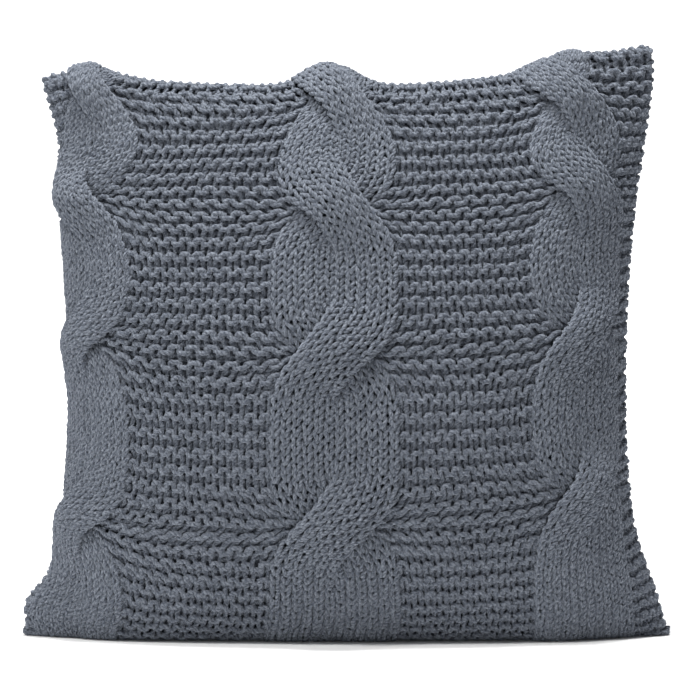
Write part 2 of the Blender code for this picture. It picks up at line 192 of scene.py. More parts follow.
SETTLE = 0.2
TOP_FLARE = 1.8
BASE_FLARE = 3.0
CORNER_FLAT = 0.45
CORNER_POWER = 3                # how quickly a change grows towards a corner
TOP_POWER = 5                   # and towards the top edge
FLAT_POWER = 4
print("pillow:", round(WAIST_SPAN * 1000), "mm at its waist,", round(HEIGHT * 1000), "mm high")

# %% The zip's place
TAPE_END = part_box("zip_tape_upper")[1].x
zip_low, zip_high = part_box("zip_teeth_upper")
ZIP_LENGTH = zip_high.x - zip_low.x
ZIP_HEIGHT = 0.060
ZIP_DEPTH = 0.062
ZIP_TILT = math.radians(14)
SLOT_HALF = 0.0052
SLOT_END = ZIP_LENGTH / 2 + 0.003
SLOT_TAPER = 0.007
BAND_HALF = 0.016
BAND_FADE = 0.054
BAND_FADE_SHARE = 0.85
BAND_END = TAPE_END + 0.006
ZIP_T = np.float64(2 * ZIP_HEIGHT / HEIGHT - 1)
print("zip:", round(ZIP_LENGTH * 1000), "mm long")


# %% The surface
def smooth(value, start, end):
    """0 before start, 1 after end, and a smooth step between."""
    ratio = np.clip((value - start) / (end - start), 0, 1)
    return ratio * ratio * (3 - 2 * ratio)


def half_width(t):
    corner = np.where(t > 0, TOP_SPAN, BASE_SPAN)
    flare = np.where(t > 0, TOP_FLARE, BASE_FLARE)
    return (WAIST_SPAN + (corner - WAIST_SPAN) * np.abs(t) ** flare) / 2


def cad_place(s, t):
    """x and z of a point of the patch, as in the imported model."""
    x = s * half_width(t)
    rise = np.where(s < 0, LEFT_CORNER_RISE, RIGHT_CORNER_RISE) * np.abs(s) ** CORNER_POWER
    for cable_x, cable_rise in zip(CABLE_X, CABLE_RISE):
        rise = rise + cable_rise * np.exp(-((x - cable_x) / CABLE_RISE_WIDTH) ** 2)
    return x, HEIGHT * (t + 1) / 2 + rise * ((t + 1) / 2) ** TOP_POWER


def place(s, t):
    """The same with the uneven ears of a soft pillow.

    Each bulge is a height, a spread and an amount."""
    x, z = cad_place(s, t)
    for side, bulges in EAR_BULGES.items():
        here = np.where(s * side > 0, np.abs(s) ** CORNER_POWER, 0.0)
        for height, spread, amount in bulges:
            x = x + side * here * amount * np.exp(-((t - height) / spread) ** 2)
    rise = np.where(s < 0, EAR_RISE[0], EAR_RISE[1]) * np.abs(s) ** EAR_ROUND
    z = z + rise * ((t + 1) / 2) ** TOP_POWER
    tip = (np.abs(s) * np.abs(t)) ** TIP_POWER
    x = x - np.sign(s) * TIP_ROUND * tip * np.where(t > 0, 1.0, LOWER_TIP_SHARE)
    return x, z - TIP_ROUND * tip * np.where(t > 0, 1.0, 0.0)


def front_depth(s, t):
    """How far the surface stands off the seam plane."""
    settled = t + SETTLE * (1 - t * t)
    across = np.sqrt(np.maximum(0, 1 - np.abs(s) ** FULLNESS))
    up = np.sqrt(np.maximum(0, 1 - np.abs(settled) ** FULLNESS))
    swell = across * up * (1 - CORNER_FLAT * (s * t) ** FLAT_POWER)
    foot = (1 - smooth(np.abs(s), FOOT_FULL, FOOT_GONE)) * ((1 - t) / 2) ** FLAT_POWER
    edge = SEAM_HALF + (FOOT_DEPTH / 2 - SEAM_HALF) * foot
    return edge + (THICKNESS / 2 - edge) * swell


def back_depth(s, t):
    """As the front, but drawn into a flat band where the zip is."""
    natural = front_depth(s, t)
    x, z = cad_place(s, t)
    side_room = half_width(ZIP_T) - BAND_END
    across = 1 - smooth(np.abs(x), BAND_END, BAND_END + BAND_FADE_SHARE * side_room)
    up = 1 - smooth(np.abs(z - ZIP_HEIGHT), BAND_HALF, BAND_FADE)
    band = ZIP_DEPTH + (z - ZIP_HEIGHT) * math.tan(ZIP_TILT)
    return natural + (band - natural) * across * up


# %% [markdown]
# ## Laying out a flat panel
#
# A knitted panel is flat when it comes off the needles, and its stitches are even. So each
# panel becomes a grid of points on the pillow, spaced evenly along its lines, and a place on
# the flat panel (so far across, so far up) is looked up in that grid. Stitches placed straight
# on the patch would be quicker, but they would stretch where it bulges.

# %% A panel's grid
ACROSS, UPWARD = 181, 241
MID_DEPTH = 0.0032              # the middle of the knitting lies this far inside the surface
SEAM_GAP = 0.0020
FINE_STEPS = 4 * UPWARD         # the lines are laid out finer, and thinned at the end
EVENING_ROUNDS = 4
UNDER_STEPS = 40
FOOT_SMOOTHING = 60
FOOT_REACH = 0.16               # of the panel's height, where the bend at the foot is rounded
FOOT_REACH_FULL = 0.7           # of that, where the rounding is full


def unit(vectors):
    return vectors / np.maximum(np.linalg.norm(vectors, axis=-1, keepdims=True), 1e-12)


def travel(line):
    """The distance along a line from its start to each of its points."""
    return np.concatenate(([0.0], np.cumsum(np.linalg.norm(np.diff(line, axis=0), axis=1))))


def points_at(line, travelled, places):
    """Points at some distances along a line."""
    return np.stack([np.interp(places, travelled, line[:, axis]) for axis in range(3)], axis=1)


def even_out(points):
    """Spaces the points of each line of a grid evenly along that line."""
    for line in points:
        along = travel(line)
        line[:] = points_at(line, along, np.linspace(0, along[-1], len(along)))


def grid_normals(points, side):
    across = np.gradient(points, axis=0)
    up = np.gradient(points, axis=1)
    return unit(np.cross(across, up) * -side)


def panel_grid(depth, side, start=None, end=None):
    """Points through the middle of a panel, and the directions that face outwards.

    start and end give the patch height of the panel's lower and upper edge for each s. A panel
    with no start also runs under the pillow's foot, to the seam in the middle of it."""
    s = np.sin(np.linspace(-math.pi / 2, math.pi / 2, ACROSS))[:, None]
    share = np.linspace(0, 1, FINE_STEPS)[None, :]
    low = -1.0 if start is None else start(s)
    high = 1.0 if end is None else end(s)
    if start is None and end is None:
        t = np.sin((share - 0.5) * math.pi)
    elif start is None:
        t = low + (high - low) * (1 - np.cos(share * math.pi / 2))
    else:
        t = low + (high - low) * np.sin(share * math.pi / 2)
    t = t + 0 * s
    s = s + 0 * t
    x, z = place(s, t)
    y = depth(s, t)
    if start is None:
        under = np.linspace(0, 1, UNDER_STEPS, endpoint=False)[None, :]
        below = SEAM_GAP + (y[:, :1] - SEAM_GAP) * under
        x = np.concatenate((x[:, :1] + 0 * below, x), axis=1)
        z = np.concatenate((z[:, :1] + 0 * below, z), axis=1)
        y = np.concatenate((below, y), axis=1)
    points = np.stack((x, side * y, z), axis=2)
    for _ in range(EVENING_ROUNDS):
        even_out(points)
        even_out(points.transpose(1, 0, 2))
    if start is None:
        reach = int(points.shape[1] * FOOT_REACH)
        fade = 1 - smooth(np.arange(points.shape[1]), FOOT_REACH_FULL * reach, reach)
        weight = fade[None, 1:-1, None] / 2
        for _ in range(FOOT_SMOOTHING):
            middle = (points[:, :-2] + points[:, 2:]) / 2
            points[:, 1:-1] += weight * (middle - points[:, 1:-1])
    normals = grid_normals(points, side)
    keep = np.linspace(0, points.shape[1] - 1, UPWARD).round().astype(int)
    points, normals = points[:, keep], normals[:, keep]
    return points - normals * MID_DEPTH, normals


# %% Looking a place up
def look_up(grid, across, up):
    """Values of a grid at places given as shares of its width and height."""
    i = np.clip(across, 0, 1) * (grid.shape[0] - 1)
    j = np.clip(up, 0, 1) * (grid.shape[1] - 1)
    i0 = np.minimum(i.astype(int), grid.shape[0] - 2)
    j0 = np.minimum(j.astype(int), grid.shape[1] - 2)
    fi, fj = (i - i0)[..., None], (j - j0)[..., None]
    lower = grid[i0, j0] * (1 - fi) + grid[i0 + 1, j0] * fi
    upper = grid[i0, j0 + 1] * (1 - fi) + grid[i0 + 1, j0 + 1] * fi
    return lower * (1 - fj) + upper * fj


def line_length(line):
    return float(np.linalg.norm(np.diff(line, axis=0), axis=1).sum())


front_points, front_normals = panel_grid(front_depth, -1)
PANEL_WIDTH = line_length(front_points[:, UPWARD // 2])
PANEL_HEIGHT = line_length(front_points[ACROSS // 2])
print("front panel, flat:", round(PANEL_WIDTH * 1000), "x", round(PANEL_HEIGHT * 1000), "mm")

# %% [markdown]
# ## The pattern
#
# Three cables stand between bands of garter stitch. A cable is twelve stitches wide: two
# strands of six that swap sides every so many rows, one passing in front of the other. The
# crossing pulls its neighbours in, so the bands beside it bend towards it. Each line of the
# pattern is a short formula of the height, so it can be moved by changing one number.

# %% Stitches and cables
FRONT_ROWS = 84
CABLE_STITCHES, GARTER_STITCHES = 12, 11
LEFT_MARGIN_STITCHES, RIGHT_MARGIN_STITCHES = 3, 4
# how tall the rows are at some shares of the panel's height: stretched by the filling
# a little below the middle, and by the seam at the top
ROW_STRETCH = ((0, 1.05), (0.10, 1.05), (0.25, 1.15), (0.43, 1.30), (0.60, 1.12), (0.75, 1.0),
               (0.86, 1.02), (0.93, 1.18), (1, 1.40))
CABLE_CENTRES = (0.040, 0.214, 0.384)        # across the flat panel, as lengths
CABLE_HALF = (0.032, 0.044, 0.036)           # half of a cable's width where it is widest
CROSSINGS = ((0.110, 0.246, 0.352, 0.436),   # heights on the flat panel
             (0.127, 0.245, 0.345, 0.424),
             (0.139, 0.252, 0.352, 0.420))
CROSSING_SHIFT = (-0.013, 0.0, 0.008)        # the outer cables' crossings lie further out
LEFT_STRAND_OVER = (True, True, False, False)
CROSSING_REACH = 0.032
NARROW_REACH = 0.030
STRAND_PINCH = 0.12
SWAY_PINCH = 0.14               # the share by which a cable narrows near its crossings
SLANT_GAIN = 0.08               # the share by which a slanting strand is wider across
SIDE_SOFTENING = 0.003
EAR_START = 0.78                # of the height: above it the margins widen into the ears
EAR_SHIFT = (0.009, -0.002, -0.018)
EAR_NARROWING = 0.26
BEND = 0.0036
BEND_REACH = 0.017
BEND_FADE = 0.032

# %% The rows' heights
shares = np.linspace(0, 1, 400)
density = 1 / np.interp(shares, *np.array(ROW_STRETCH).T)
rows_below = np.cumsum(density) / density.sum()
print("rows are", round(PANEL_HEIGHT / FRONT_ROWS * 1000, 1), "mm tall on average")


def spread_rows(up):
    """Moves evenly spaced rows so that those round the fullest part are taller."""
    return PANEL_HEIGHT * np.interp(up / PANEL_HEIGHT, rows_below, shares)


# %% The cables' lines
def ear_share(up):
    return smooth(up / PANEL_HEIGHT, EAR_START, 1.0)


def crossing_pull(index, up, reach):
    """1 at a crossing of the cable, fading to 0 above and below it."""
    pull = 0.0
    for height in CROSSINGS[index]:
        pull = np.maximum(pull, np.exp(-((up - height) / reach) ** 2))
    return pull


def cable_centre(index, up):
    shift = CROSSING_SHIFT[index] * crossing_pull(index, up, CROSSING_REACH)
    return CABLE_CENTRES[index] + shift + EAR_SHIFT[index] * ear_share(up)


def strand_half(index, up):
    """Half of one strand's width."""
    open_half = CABLE_HALF[index] / 2 * (1 - EAR_NARROWING * ear_share(up))
    return open_half * (1 - STRAND_PINCH * crossing_pull(index, up, CROSSING_REACH / 2))


def strand_side(index, up):
    """-1 while the strand that starts on the left is there, and 1 while it is on the right."""
    side = -1.0
    for height in CROSSINGS[index]:
        side = side * (1 - 2 * smooth(up, height - CROSSING_REACH, height + CROSSING_REACH))
    return side


def strand_sway(index, up):
    """How far the middle of a strand lies from the middle of the cable."""
    slack = 1 - SWAY_PINCH * crossing_pull(index, up, NARROW_REACH)
    return CABLE_HALF[index] / 2 * (1 - EAR_NARROWING * ear_share(up)) * slack


def cable_half(index, up):
    """Half of a cable's width at some height of the flat panel."""
    side = strand_side(index, up)
    slant = 1 + SLANT_GAIN * crossing_pull(index, up, CROSSING_REACH / 2)
    middle = strand_sway(index, up) * np.sqrt(side * side + SIDE_SOFTENING)
    return middle + strand_half(index, up) * slant


def cable_bend(index, up):
    """How far the rows beside a cable are pulled up or down towards its crossings."""
    bend = 0.0
    for height in CROSSINGS[index]:
        away = (up - height) / BEND_REACH
        bend = bend - BEND * away * np.exp((1 - away ** 2) / 2)
    return bend


# %% [markdown]
# ## One stitch
#
# The yarn of a row runs through all its stitches. In each one it goes up, round a head and
# down again, and it narrows at its foot: seen from the front that is a letter omega. A knit
# stitch has its legs in front and its head and feet behind, and a purl stitch is the reverse.
# In garter stitch the rows take turns, so the heads of one row and the feet of the next lie
# in front together and make a ridge. A curve object with a bevel could be that yarn, but tens
# of thousands of loops are far quicker as one array of points.

# %% Depth of the yarn along a stitch
STEPS = 12                      # points of yarn in each stitch
SIDES = 6
WOBBLE_STEPS = 6                # points of yarn in one swing of its unevenness
print("each stitch has", 2 * STEPS * SIDES, "triangles")


def loop_depth(this_row, next_row, leg_ends):
    """Depth of the yarn along one stitch, from -1 behind to 1 in front.

    The rows are 1 for knit and -1 for purl. The next row decides which way the head is drawn.
    leg_ends gives how far a leg's lower and upper end stand out, where its middle counts as 1."""
    leg = [leg_ends[0] * this_row, (this_row + next_row) / 2, leg_ends[1] * next_row]
    keys = np.array([-this_row] + leg + [-next_row] + leg[::-1] + [-this_row])
    along = (np.arange(STEPS) + 0.5) / STEPS * (len(keys) - 1)
    key = along.astype(int)
    turn = (1 - np.cos((along - key) * math.pi)) / 2
    return keys[key] * (1 - turn) + keys[key + 1] * turn


def wobble(rng, rows, count, amount):
    """Unevenness that follows the yarn, smoother than noise."""
    raw = rng.normal(0, 1, (rows, count // WOBBLE_STEPS + 3))
    spots = np.linspace(0, raw.shape[1] - 1.001, count)
    low = spots.astype(int)
    part = spots - low
    part = part * part * (3 - 2 * part)
    return amount * (raw[:, low] * (1 - part) + raw[:, low + 1] * part)


# %% A tube of yarn
def tube_mesh(name, lines, outward, radius):
    """One closed tube along each line of points, with maps that follow the yarn."""
    count, length, _ = lines.shape
    forward = unit(np.gradient(lines, axis=1))
    side = unit(np.cross(forward, outward))
    lift = np.cross(side, forward)
    turn = np.arange(SIDES) * 2 * math.pi / SIDES
    ring = side[:, :, None] * np.cos(turn)[:, None] + lift[:, :, None] * np.sin(turn)[:, None]
    verts = lines[:, :, None] + ring * radius[:, :, None, None]
    index = np.arange(count * length * SIDES).reshape(count, length, SIDES)
    here, there = index[:, :-1], index[:, 1:]
    walls = np.stack((here, there, np.roll(there, -1, 2), np.roll(here, -1, 2)), axis=3)
    walls = walls.reshape(-1, 4)
    caps = np.concatenate((index[:, 0], index[:, -1, ::-1]))
    mesh = bpy.data.meshes.new(name)
    mesh.vertices.add(verts.size // 3)
    mesh.vertices.foreach_set("co", verts.astype(np.float32).ravel())
    mesh.loops.add(walls.size + caps.size)
    mesh.loops.foreach_set("vertex_index", np.concatenate((walls.ravel(), caps.ravel())))
    starts = np.concatenate((np.arange(len(walls)) * 4, walls.size + np.arange(len(caps)) * SIDES))
    mesh.polygons.add(len(starts))
    mesh.polygons.foreach_set("loop_start", starts)
    mesh.update(calc_edges=True)
    mesh.shade_smooth()
    add_yarn_maps(mesh, lines)
    return mesh


# %% Maps that follow the yarn
BAKE_MARGIN = 0.04              # of a row's strip in the map, left free at each side


def set_map(mesh, name, wall_corners, cap_u, cap_v):
    """Makes a map from values at the four corners of each wall, and at the corners of the caps."""
    wall_u, wall_v = (np.stack(values, axis=3).ravel() for values in wall_corners)
    both = np.stack((np.concatenate((wall_u, cap_u)), np.concatenate((wall_v, cap_v))), axis=1)
    layer = mesh.uv_layers.new(name=name)
    layer.uv.foreach_set("vector", both.astype(np.float32).ravel())


def add_yarn_maps(mesh, lines):
    """One map holds lengths along the yarn and turns round it, the other spreads all rows out."""
    count, length, _ = lines.shape
    steps = np.linalg.norm(np.diff(lines, axis=1), axis=2)
    travelled = np.concatenate((np.zeros((count, 1)), np.cumsum(steps, axis=1)), axis=1)
    start_side = np.arange(SIDES)[None, None, :] + np.zeros((count, length - 1, 1))
    near = travelled[:, :-1, None] + 0 * start_side
    far = travelled[:, 1:, None] + 0 * start_side
    low, high = start_side / SIDES, (start_side + 1) / SIDES
    cap_u = np.repeat(np.concatenate((travelled[:, 0], travelled[:, -1])), SIDES)
    cap_v = np.tile(np.arange(SIDES) / SIDES, 2 * count)
    set_map(mesh, "yarn", ((near, far, far, near), (low, low, high, high)), cap_u, cap_v)

    place_along = (np.arange(length) / (length - 1))[None, :, None] + np.zeros((count, 1, SIDES))
    near, far = place_along[:, :-1], place_along[:, 1:]
    row = np.arange(count)[:, None, None] + BAKE_MARGIN
    used = 1 - 2 * BAKE_MARGIN
    low = (row + used * start_side / SIDES) / count
    high = (row + used * (start_side + 1) / SIDES) / count
    cap_u = np.repeat((0.0, 1.0), SIDES * count)
    cap_v = ((row[:, 0] + used * np.arange(SIDES) / SIDES) / count).ravel()
    cap_v = np.tile(cap_v, 2)
    set_map(mesh, "OFBake", ((near, far, far, near), (low, low, high, high)), cap_u, cap_v)


# %% Adding a piece
def add_piece(name, mesh, finish, stands_for):
    """Puts a finished mesh in the scene, on the pillow's body and with its finish."""
    mesh.materials.clear()
    mesh.materials.append(finish)
    piece = bpy.data.objects.new(name, mesh)
    bpy.context.scene.collection.objects.link(piece)
    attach(piece, "pillow")
    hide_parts(*stands_for)
    print(name, "has", sum(len(face.vertices) - 2 for face in mesh.polygons), "triangles")
    return piece


# %% [markdown]
# ## Yarn
#
# Soft, matt, slate-blue yarn of three plies. The twist shows as slanting strokes, and painted
# shade darkens the grooves between the plies. A haze of fibres catches the light at the edges,
# which is what sheen is for. The colour drifts slightly over the panel, as dyed yarn's does. The
# plies could be tubes of their own, at three times the triangles. They are too fine for that, so
# they are drawn by waves on the yarn's own map.

# %% Node helpers
def math_node(tree, operation, first, second=None):
    node = tree.nodes.new("ShaderNodeMath")
    node.operation = operation
    for socket, value in zip(node.inputs, (first, second)):
        if value is None:
            continue
        if isinstance(value, (int, float)):
            socket.default_value = value
        else:
            tree.links.new(value, socket)
    return node.outputs[0]


def weighted(tree, first, first_share, second, second_share):
    """The sum of two values, each times its share."""
    return math_node(tree, "ADD", math_node(tree, "MULTIPLY", first, first_share),
                     math_node(tree, "MULTIPLY", second, second_share))


def noise(tree, vector, scale, detail=2.0):
    node = tree.nodes.new("ShaderNodeTexNoise")
    node.inputs["Scale"].default_value = scale
    node.inputs["Detail"].default_value = detail
    tree.links.new(vector, node.inputs["Vector"])
    return node.outputs["Fac"]


def ramp(tree, value, stops):
    node = tree.nodes.new("ShaderNodeValToRGB")
    while len(node.color_ramp.elements) < len(stops):
        node.color_ramp.elements.new(0.5)
    for element, (position, colour) in zip(node.color_ramp.elements, stops):
        element.position = position
        element.color = (*colour, 1)
    tree.links.new(value, node.inputs[0])
    return node.outputs[0]


def mix(tree, share, first, second, blend="MIX"):
    node = tree.nodes.new("ShaderNodeMix")
    node.data_type = "RGBA"
    node.blend_type = blend
    for name, value in (("Factor", share), ("A", first), ("B", second)):
        socket = [item for item in node.inputs if item.name == name and item.enabled][0]
        if isinstance(value, (int, float)):
            socket.default_value = value
        elif isinstance(value, tuple):
            socket.default_value = (*value, 1)
        else:
            tree.links.new(value, socket)
    return [item for item in node.outputs if item.enabled][0]


def bump(tree, height, strength, distance):
    node = tree.nodes.new("ShaderNodeBump")
    node.inputs["Strength"].default_value = strength
    node.inputs["Distance"].default_value = distance
    tree.links.new(height, node.inputs["Height"])
    return node.outputs[0]


def join_surface(tree, shader, colour, height, strength, distance):
    """Links a colour and a bumpy height to the shader."""
    tree.links.new(colour, shader.inputs["Base Color"])
    tree.links.new(bump(tree, height, strength, distance), shader.inputs["Normal"])


def new_finish(name, roughness, metallic=0.0, sheen=0.0, sheen_tint=(1, 1, 1)):
    """A material, its node tree, its shader, and the place on the object that patterns read."""
    finish = bpy.data.materials.new(name)
    finish.use_nodes = True
    shader = finish.node_tree.nodes["Principled BSDF"]
    shader.inputs["Roughness"].default_value = roughness
    shader.inputs["Metallic"].default_value = metallic
    shader.inputs["Sheen Weight"].default_value = sheen
    shader.inputs["Sheen Roughness"].default_value = 0.5
    shader.inputs["Sheen Tint"].default_value = (*sheen_tint, 1)
    here = finish.node_tree.nodes.new("ShaderNodeTexCoord").outputs["Object"]
    return finish, finish.node_tree, shader, here


# %% The yarn's finish
PLIES = 3
TWIST_LENGTH = 0.0085           # of yarn in one full turn of the plies
LOOSE_TWIST = 3.0
FIBRE_STREAKS = 420             # to a metre of yarn


def yarn_finish(name, deep, pale):
    finish, tree, shader, here = new_finish(name, 0.95, sheen=0.25, sheen_tint=(0.75, 0.82, 0.92))
    shader.inputs["Specular IOR Level"].default_value = 0.15
    own_map = tree.nodes.new("ShaderNodeUVMap")
    own_map.uv_map = "yarn"
    parts = tree.nodes.new("ShaderNodeSeparateXYZ")
    tree.links.new(own_map.outputs[0], parts.inputs[0])

    turns = math_node(tree, "MULTIPLY", parts.outputs["X"], 2 * math.pi * PLIES / TWIST_LENGTH)
    around = math_node(tree, "MULTIPLY", parts.outputs["Y"], 2 * math.pi * PLIES)
    loose = math_node(tree, "MULTIPLY", noise(tree, here, 260), LOOSE_TWIST)
    phase = math_node(tree, "ADD", math_node(tree, "ADD", turns, around), loose)
    wave = math_node(tree, "SINE", math_node(tree, "MULTIPLY", phase, 0.5))
    ply = math_node(tree, "ABSOLUTE", wave)

    along_fibre = tree.nodes.new("ShaderNodeCombineXYZ")
    streak_place = math_node(tree, "MULTIPLY", parts.outputs["X"], FIBRE_STREAKS)
    tree.links.new(streak_place, along_fibre.inputs["X"])
    tree.links.new(math_node(tree, "ADD", around, turns), along_fibre.inputs["Y"])
    streaks = noise(tree, along_fibre.outputs[0], 1.0, 3.0)
    fibres = noise(tree, here, 1500, 3.0)
    drift = noise(tree, here, 22, 3.0)
    fleck = noise(tree, here, 520, 3.0)
    light = weighted(tree, streaks, 0.5, fleck, 0.5)
    middle = tuple((a + b) / 2 for a, b in zip(deep, pale))
    colour = ramp(tree, light, [(0.39, deep), (0.50, middle), (0.61, pale)])
    colour = mix(tree, math_node(tree, "MULTIPLY", drift, 0.25), colour, tuple(0.8 * c for c in deep))
    # painted shade: the yarn's colour is darkened in the grooves between the plies, where shade falls
    painted_groove_shade = ramp(tree, ply, [(0.0, (0.40, 0.41, 0.43)), (0.5, (1, 1, 1))])
    colour = mix(tree, 1.0, colour, painted_groove_shade, "MULTIPLY")
    height = math_node(tree, "ADD", weighted(tree, ply, 0.8, streaks, 0.8), fibres)
    join_surface(tree, shader, colour, height, 0.9, 0.0008)
    return finish


cover_yarn = yarn_finish("cover_yarn", (0.055, 0.065, 0.087), (0.205, 0.225, 0.262))
print(cover_yarn.name, "has", len(cover_yarn.node_tree.nodes), "nodes")

# %% [markdown]
# ## Knitting a strip
#
# The front is knitted as seven strips side by side: a narrow garter margin, then cable,
# garter, cable, garter, cable and the other margin. A strip's rule turns a stitch and a
# height on the flat panel into a place across, a place up and a lift off the surface. One big
# piece for the whole front would be simpler, but strips can slide behind each other, as the
# strands of a cable do.

# %% A cable's strands
CABLE_LIFT = 0.0012             # of the whole cable over the bands beside it
STRAND_LIFT, STRAND_SINK = 0.0056, 0.0034
LIFT_REACH = 0.020
TUCK = 0.0012                   # how far the bands reach under the cables' edges
STRAND_TURN = 0.80              # how far its stitches turn with a strand
CROWN = 0.0011                  # how round a strand is where it runs straight
CROSSING_CROWN = 0.0030         # and how much rounder at a crossing


def strand_rule(index, start_side):
    """One of a cable's two strands, the one that starts on the left (-1) or the right (1)."""
    def axis(up):
        return cable_centre(index, up) - start_side * strand_side(index, up) * strand_sway(index, up)

    def rule(stitch, up):
        step = 0.001
        angle = np.arctan((axis(up + step) - axis(up - step)) / (2 * step)) * STRAND_TURN
        lift, near = CABLE_LIFT, 0.0
        for order, height in enumerate(CROSSINGS[index]):
            left_strand = -1 if order % 2 == 0 else 1
            in_front = (left_strand == start_side) == LEFT_STRAND_OVER[order]
            close = np.exp(-((up - height) / LIFT_REACH) ** 2)
            lift = lift + close * (STRAND_LIFT if in_front else -STRAND_SINK)
            near = near + close
        half_stitches = CABLE_STITCHES / 4
        edge = (stitch - half_stitches) / half_stitches
        off = edge * strand_half(index, up)
        lift = lift + (1 - edge ** 2) * (CROWN + CROSSING_CROWN * near)
        return axis(up) + off * np.cos(angle), up - off * np.sin(angle), lift

    return rule


# %% The bands between
def garter_rule(left, right, stitches):
    """A band of garter stitch between two cables, or a cable and a seam (None)."""
    def rule(stitch, up):
        low, high = 0.0, PANEL_WIDTH
        if left is not None:
            low = cable_centre(left, up) + cable_half(left, up) - TUCK
        if right is not None:
            high = cable_centre(right, up) - cable_half(right, up) + TUCK
        across = low + (high - low) * stitch / stitches
        raised = up
        if left is not None:
            raised = raised + cable_bend(left, up) * np.exp(-(across - low) / BEND_FADE)
        if right is not None:
            raised = raised + cable_bend(right, up) * np.exp(-(high - across) / BEND_FADE)
        return across, raised, 0 * up

    return rule


def plain_rule(left, right, stitches):
    """An even band of a panel between two places across it."""
    def rule(stitch, up):
        return left + (right - left) * stitch / stitches, up, 0 * up

    return rule


# %% [markdown]
# ## The knitting itself
#
# A knitter works one row after another, and no two stitches come out alike. Each row of a strip
# is one strand of yarn here, with a small wobble in its loops that comes from a seed, so it is
# the same each time. Copies of one perfect stitch would look like a machine's work.

# %% The two kinds of stitch
RIDGE = 0.0017                  # how far garter ridges stand out and the valleys sink
STITCHES = {
    "garter": {"reach": 0.87, "lean": 0.19, "depth": 0.0019, "radius": 0.00178, "purl": True,
               "leg_ends": (0.15, 0.15)},
    "plain": {"reach": 0.80, "lean": 0.26, "depth": 0.0019, "radius": 0.00154, "purl": False,
              "leg_ends": (0.80, 0.15)},
}
EDGE_ROOM = 0.0010              # between the outermost yarn's middle and a panel's edge
UNEVEN = {"across": 0.045, "loop": 0.07, "row": 0.00035, "depth": 0.00030, "radius": 0.05}
print("kinds of stitch:", ", ".join(STITCHES))


# %% Knit
def knit(kind, rule, stitches, rows, panel, spread, seed):
    """The yarn of each row of a strip: its points, the outward directions and its radius."""
    points, normals = panel["points"], panel["normals"]
    width, height = panel["width"], panel["height"]
    look = STITCHES[kind]
    rng = np.random.default_rng(seed)
    count = stitches * STEPS
    turn = (np.arange(count) + 0.5) / STEPS
    kinds = np.where((np.arange(rows + 1) % 2 == 1) & look["purl"], -1.0, 1.0)
    depth = np.stack([np.tile(loop_depth(kinds[i], kinds[i + 1], look["leg_ends"]), stitches)
                      for i in range(rows)])
    sideways = wobble(rng, rows, count, UNEVEN["across"])
    stitch = turn + look["lean"] * np.sin(4 * math.pi * turn) + sideways
    rise = -look["reach"] * np.cos(2 * math.pi * turn) * (1 + wobble(rng, rows, count, UNEVEN["loop"]))
    row = np.arange(rows)[:, None] + 0.5 + rise
    up = spread(row * height / rows) + wobble(rng, rows, count, UNEVEN["row"])
    across, raised, lift = rule(stitch, up)
    raised = np.clip(raised, EDGE_ROOM, height - EDGE_ROOM)
    spot = look_up(points, across / width, raised / height)
    out = look_up(normals, across / width, raised / height)
    off = lift + depth * look["depth"] + wobble(rng, rows, count, UNEVEN["depth"])
    if look["purl"]:
        off = off - RIDGE * np.cos(math.pi * row)
    radius = look["radius"] * (1 + wobble(rng, rows, count, UNEVEN["radius"]))
    lines = spot + out * off[..., None]
    lines[..., 2] = np.maximum(lines[..., 2], radius)
    return lines, out, radius


def knit_piece(name, kind, rule, stitches, rows, panel, spread, seed, stands_for):
    lines, out, radius = knit(kind, rule, stitches, rows, panel, spread, seed)
    mesh = tube_mesh(name, lines, out, radius)
    piece = add_piece(name, mesh, cover_yarn, stands_for)


def panel_of(grid):
    points, normals = grid
    return {"points": points, "normals": normals,
            "width": line_length(points[:, UPWARD // 2]), "height": line_length(points[ACROSS // 2])}


# %% The front
FRONT_SEED = 10

front = panel_of((front_points, front_normals))
garter_bands = {"front_margin_left": (None, 0, LEFT_MARGIN_STITCHES),
                "front_garter_left": (0, 1, GARTER_STITCHES),
                "front_garter_right": (1, 2, GARTER_STITCHES),
                "front_margin_right": (2, None, RIGHT_MARGIN_STITCHES)}
front_strips = {name: ("garter", garter_rule(*band), band[2]) for name, band in garter_bands.items()}
for index, cable in enumerate(("left", "centre", "right")):
    for start_side, strand in ((-1, "a"), (1, "b")):
        strip = ("plain", strand_rule(index, start_side), CABLE_STITCHES // 2)
        front_strips[f"front_cable_{cable}_{strand}"] = strip
for order, (name, (kind, rule, stitches)) in enumerate(front_strips.items()):
    knit_piece(name, kind, rule, stitches, FRONT_ROWS, front, spread_rows, FRONT_SEED + order,
               ("cover_front",))

# %% [markdown]
# ## The back
#
# The back is plain stocking stitch, in two panels with the zip between them. It could be one
# panel with a slit cut in it, but cut knitting frays, so a knitter stops at the opening. The
# grid of each panel ends there too, and the first and last rows run along the zip.

# %% Back panels
BACK_STITCHES = 16              # in each of the strips that the upper panel is made in
BACK_STRIPS = 4
UPPER_ROWS, LOWER_ROWS = 68, 15
SLIT_HALF = 0.00015             # half of the gap past the zip's ends, where the panels meet
UPPER_SEED, LOWER_SEED = 30, 40


def slot_line(sign):
    """The patch height of the knitted edge above (1) or below (-1) the zip, for each s."""
    def line(s):
        past = np.clip((np.abs(s) * half_width(ZIP_T) - SLOT_END) / SLOT_TAPER, 0, 1)
        half = SLIT_HALF + (SLOT_HALF - SLIT_HALF) * (1 - past)
        return ZIP_T + 2 * sign * half * math.cos(ZIP_TILT) / HEIGHT

    return line


def as_knitted(up):
    return up


